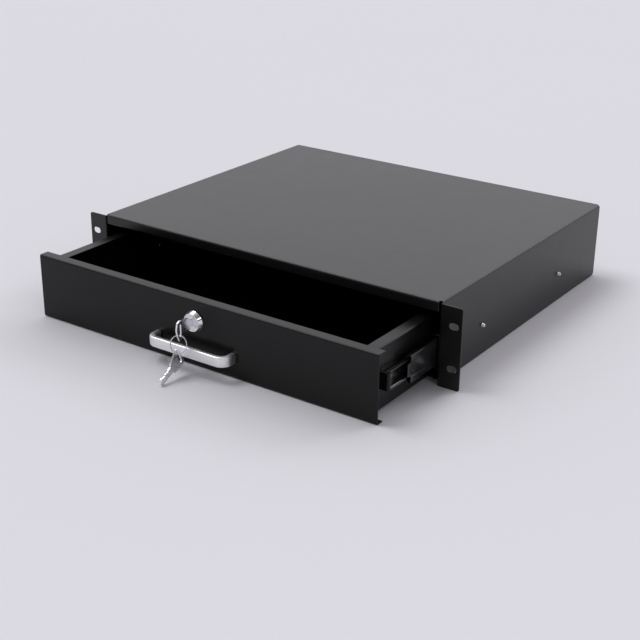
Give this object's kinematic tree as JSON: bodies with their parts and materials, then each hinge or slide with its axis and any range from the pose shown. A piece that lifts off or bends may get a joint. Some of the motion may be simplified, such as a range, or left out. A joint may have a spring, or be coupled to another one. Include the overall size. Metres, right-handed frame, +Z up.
{
  "type": "rack drawer",
  "caption": "Two-unit rack drawer: a folded steel case with slotted ears, and a locking drawer on three-section ball-bearing slides with a bow handle and keys.",
  "frame": {"origin": "centre of the four rack slots, on the front face of the ears", "axes": "+X to the right seen from the front, +Y to the back, +Z up"},
  "size_m": [0.4826, 0.5329, 0.0882],
  "materials": {
    "case_paint": "black powder coat, fine texture",
    "drawer_paint": "black powder coat, fine texture",
    "fasteners": "bright nickel plate",
    "slide_steel": "black zinc, bright on worn edges",
    "cage_steel": "bright zinc",
    "balls": "polished steel",
    "handle_aluminium": "satin anodised",
    "lock_chrome": "polished chrome",
    "cam_steel": "bright zinc",
    "key_nickel": "nickel plate, lightly worn",
    "ring_steel": "polished steel",
    "bumper_rubber": "black moulded plastic"
  },
  "bodies": {
    "case": {"case_shell": "case_paint", "case_floor": "case_paint", "rear_panel": "case_paint", "rear_screws": "fasteners", "outer_slide_left": "slide_steel", "outer_slide_right": "slide_steel", "outer_slide_screws_left": "fasteners", "outer_slide_screws_right": "fasteners"},
    "drawer": {"drawer_tray": "drawer_paint", "drawer_front": "drawer_paint", "drawer_handle": "handle_aluminium", "handle_screws": "fasteners", "lock_body": "lock_chrome", "lock_nut": "lock_chrome", "drawer_slide_left": "slide_steel", "drawer_slide_right": "slide_steel", "drawer_slide_screws_left": "fasteners", "drawer_slide_screws_right": "fasteners", "slide_bumper_left": "bumper_rubber", "slide_bumper_right": "bumper_rubber"},
    "lock_barrel": {"lock_plug": "lock_chrome", "lock_cam": "cam_steel", "cam_screw": "fasteners", "key": "key_nickel"},
    "ring": {"key_ring": "ring_steel"},
    "hanging_key": {"spare_key": "key_nickel"},
    "middle_member_left": {"middle_slide_left": "slide_steel"},
    "outer_cage_left": {"outer_cage_left": "cage_steel", "outer_balls_left": "balls"},
    "inner_cage_left": {"inner_cage_left": "cage_steel", "inner_balls_left": "balls"},
    "middle_member_right": {"middle_slide_right": "slide_steel"},
    "outer_cage_right": {"outer_cage_right": "cage_steel", "outer_balls_right": "balls"},
    "inner_cage_right": {"inner_cage_right": "cage_steel", "inner_balls_right": "balls"}
  },
  "joints": [
    {"name": "drawer_slide", "type": "slide", "parent": "case", "child": "drawer", "axis": [0, -1, 0], "range_m": [-0.104, 0.236]},
    {"name": "middle_slide_left", "type": "slide", "parent": "case", "child": "middle_member_left", "axis": [0, -1, 0], "range_m": [-0.052, 0.118]},
    {"name": "outer_cage_left", "type": "slide", "parent": "case", "child": "outer_cage_left", "axis": [0, -1, 0], "range_m": [-0.026, 0.059]},
    {"name": "inner_cage_left", "type": "slide", "parent": "case", "child": "inner_cage_left", "axis": [0, -1, 0], "range_m": [-0.078, 0.177]},
    {"name": "middle_slide_right", "type": "slide", "parent": "case", "child": "middle_member_right", "axis": [0, -1, 0], "range_m": [-0.052, 0.118]},
    {"name": "outer_cage_right", "type": "slide", "parent": "case", "child": "outer_cage_right", "axis": [0, -1, 0], "range_m": [-0.026, 0.059]},
    {"name": "inner_cage_right", "type": "slide", "parent": "case", "child": "inner_cage_right", "axis": [0, -1, 0], "range_m": [-0.078, 0.177]},
    {"name": "lock_turn", "type": "hinge", "parent": "drawer", "child": "lock_barrel", "pos_m": [0, -0.104, 0.00485], "axis": [0, 1, 0], "range_deg": [0, 90]},
    {"name": "ring_swing", "type": "hinge", "parent": "lock_barrel", "child": "ring", "pos_m": [0, -0.1265, -0.00255], "axis": [0.9781, 0.2079, 0], "range_deg": [-25, 0]},
    {"name": "spare_swing", "type": "hinge", "parent": "ring", "child": "hanging_key", "pos_m": [0.00128, -0.13252, -0.01946], "axis": [0.9781, 0.2079, 0], "range_deg": [-20, 0]}
  ],
  "couplings": [
    {"joint": "middle_slide_left", "follows": "drawer_slide", "ratio": 0.5},
    {"joint": "outer_cage_left", "follows": "drawer_slide", "ratio": 0.25},
    {"joint": "inner_cage_left", "follows": "drawer_slide", "ratio": 0.75},
    {"joint": "middle_slide_right", "follows": "drawer_slide", "ratio": 0.5},
    {"joint": "outer_cage_right", "follows": "drawer_slide", "ratio": 0.25},
    {"joint": "inner_cage_right", "follows": "drawer_slide", "ratio": 0.75}
  ]
}
